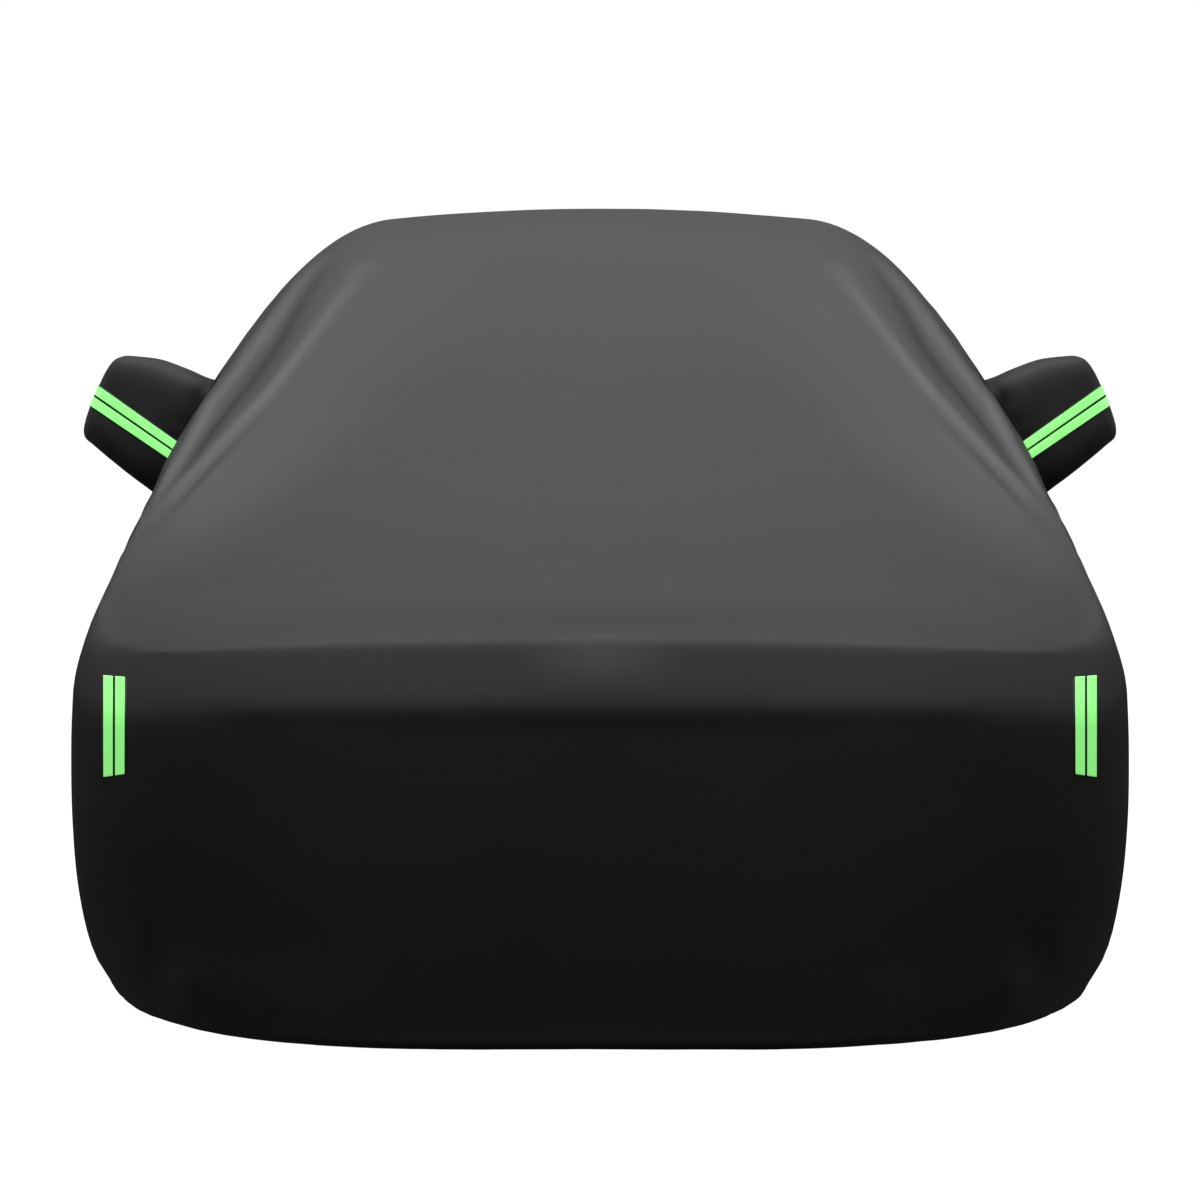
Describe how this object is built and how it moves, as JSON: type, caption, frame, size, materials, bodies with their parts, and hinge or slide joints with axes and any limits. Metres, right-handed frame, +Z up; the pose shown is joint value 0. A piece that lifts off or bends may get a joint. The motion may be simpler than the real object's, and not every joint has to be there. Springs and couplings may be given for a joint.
{
  "type": "car cover",
  "caption": "Fitted black cloth car cover, draped in the shape of a saloon, with a drawn-in hem, mirror pockets and green reflective strips.",
  "frame": {"origin": "under the body cloth at the highest point of its roof, on the centre line, where the cloth rests on the middle of a car's roof", "axes": "+X towards the right as one faces the cover's nose, +Y from its nose to its tail, +Z up"},
  "size_m": [2.0158, 4.6588, 1.3593],
  "materials": {
    "black_cloth": "close plain weave with a faint satin sheen",
    "green_tape": "fluorescent reflective tape, satin"
  },
  "bodies": {
    "root": {"body_cloth": "black_cloth", "mirror_pocket_left": "black_cloth", "mirror_pocket_right": "black_cloth", "front_strip_left": "green_tape", "front_strip_right": "green_tape", "mirror_strip_left": "green_tape", "mirror_strip_right": "green_tape"}
  },
  "joints": []
}
